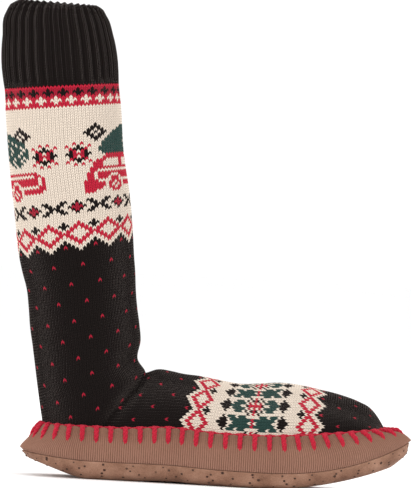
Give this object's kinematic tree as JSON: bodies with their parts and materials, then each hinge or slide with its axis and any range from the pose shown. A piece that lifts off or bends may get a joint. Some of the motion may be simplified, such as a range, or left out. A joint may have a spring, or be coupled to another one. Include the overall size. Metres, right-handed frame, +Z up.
{
  "type": "slipper sock",
  "caption": "Tall patterned knit slipper sock with a ribbed cuff, a rib-knit moccasin wall, a blanket-stitched edge and a soft suede sole.",
  "frame": {"origin": "on the floor, at the back of the heel's flat spot, under the ankle", "axes": "+X towards the toe, +Z up along the leg, +Y across the foot; the shoe is symmetric about the XZ plane"},
  "size_m": [0.281, 0.0972, 0.3095],
  "materials": {
    "patterned_knit": "matte jacquard knit, black with cream, red and green motifs",
    "rib_knit": "fine matte rib knit, pinkish tan",
    "suede": "matte split suede with raised grip dots",
    "footbed_fleece": "matte brushed fleece",
    "red_yarn": "soft twisted yarn"
  },
  "bodies": {
    "root": {"upper": "patterned_knit", "side_wall": "rib_knit", "outsole": "suede", "insole": "footbed_fleece", "blanket_stitch": "red_yarn"}
  },
  "joints": []
}
